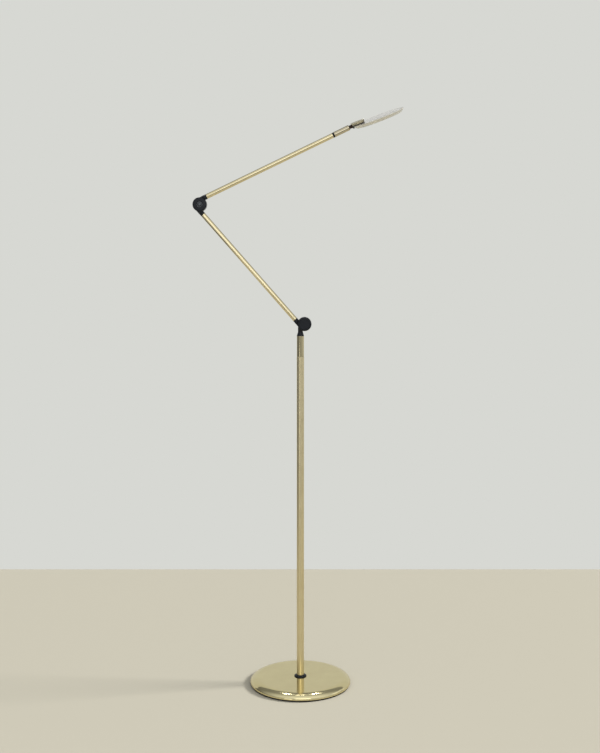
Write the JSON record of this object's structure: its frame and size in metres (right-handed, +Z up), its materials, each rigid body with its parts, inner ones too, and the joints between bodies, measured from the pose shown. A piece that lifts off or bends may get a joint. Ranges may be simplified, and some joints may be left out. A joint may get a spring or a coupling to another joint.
{
  "type": "floor lamp",
  "caption": "Articulated brass floor lamp: weighted round foot, slim stem, two arms on offset friction hinges, and a thin clear disc head that swivels and tilts.",
  "frame": {"origin": "centre of the underside of the foot, on the floor", "axes": "+Z up along the stem; +X is the side the head reaches to at rest, and the arms lie in the XZ plane; the cord inlet is at +Y"},
  "size_m": [0.5065, 0.2535, 1.4273],
  "materials": {
    "satin_brass": "satin",
    "polished_brass": "polished",
    "black_moulding": "fine moulded grain",
    "dark_bronze": "dark satin",
    "cast_weight": "as cast, painted",
    "rubber_pad": "matte",
    "steel": "zinc plated",
    "blackened_steel": "oil blackened",
    "bearing_plastic": "natural",
    "circuit_board": "lacquered",
    "spreader_aluminium": "as sawn",
    "wire_sheath": "smooth sheath",
    "clear_acrylic": "clear, polished"
  },
  "bodies": {
    "lamp_stand": {"base_cover": "satin_brass", "base_weight": "cast_weight", "base_pad": "rubber_pad", "foot_ring": "black_moulding", "foot_plug": "steel", "threaded_nipple": "steel", "nipple_washer": "steel", "nipple_lock_nut": "steel", "cord_gland": "black_moulding", "stem_tube": "satin_brass", "stem_wire": "wire_sheath", "dimmer_sleeve": "polished_brass", "sleeve_liner": "bearing_plastic", "dimmer_board": "circuit_board", "top_bush": "bearing_plastic"},
    "arm_turret": {"shoulder_stem_half": "black_moulding", "turret_clip": "steel", "shoulder_pivot_screw": "blackened_steel", "shoulder_disc_spring": "steel", "shoulder_lock_nut": "steel", "shoulder_cap": "black_moulding"},
    "lower_arm": {"shoulder_arm_half": "black_moulding", "shoulder_head_washer": "blackened_steel", "shoulder_friction_washer": "bearing_plastic", "lower_arm_tube": "satin_brass", "lower_arm_wire": "wire_sheath", "elbow_lower_half": "black_moulding", "elbow_head_washer": "blackened_steel", "elbow_friction_washer": "bearing_plastic"},
    "upper_arm": {"elbow_upper_half": "black_moulding", "elbow_pivot_screw": "blackened_steel", "elbow_disc_spring": "steel", "elbow_lock_nut": "steel", "elbow_cap": "black_moulding", "upper_arm_tube": "satin_brass", "upper_arm_wire": "wire_sheath", "head_swivel_bush": "black_moulding", "barrel_clip": "steel"},
    "head_barrel": {"barrel_tube": "satin_brass", "barrel_rear_bush": "bearing_plastic", "nose_plug": "dark_bronze"},
    "lamp_head": {"tilt_fork": "dark_bronze", "tilt_screw": "dark_bronze", "tilt_nut": "dark_bronze", "tilt_washers": "bearing_plastic", "led_holder": "satin_brass", "clamp_plate": "dark_bronze", "led_board": "circuit_board", "heat_spreader": "spreader_aluminium", "clamp_screws": "steel", "light_disc": "clear_acrylic"}
  },
  "joints": [
    {"name": "stem_swivel", "type": "hinge", "parent": "lamp_stand", "child": "arm_turret", "pos_m": [0, 0, 0.85], "axis": [0, 0, 1], "range_deg": [-170, 170]},
    {"name": "shoulder", "type": "hinge", "parent": "arm_turret", "child": "lower_arm", "pos_m": [0.01, 0, 0.9051], "axis": [0, 1, 0], "range_deg": [-25, 126]},
    {"name": "elbow", "type": "hinge", "parent": "lower_arm", "child": "upper_arm", "pos_m": [-0.24253, 0, 1.19305], "axis": [0, -1, 0], "range_deg": [-70, 105]},
    {"name": "head_swivel", "type": "hinge", "parent": "upper_arm", "child": "head_barrel", "pos_m": [0.09615, 0, 1.36567], "axis": [0.9026, 0, 0.4305], "range_deg": [-170, 170]},
    {"name": "head_tilt", "type": "hinge", "parent": "head_barrel", "child": "lamp_head", "pos_m": [0.12052, 0, 1.3773], "axis": [0.0895, -0.9781, -0.1877], "range_deg": [-60, 45]}
  ]
}
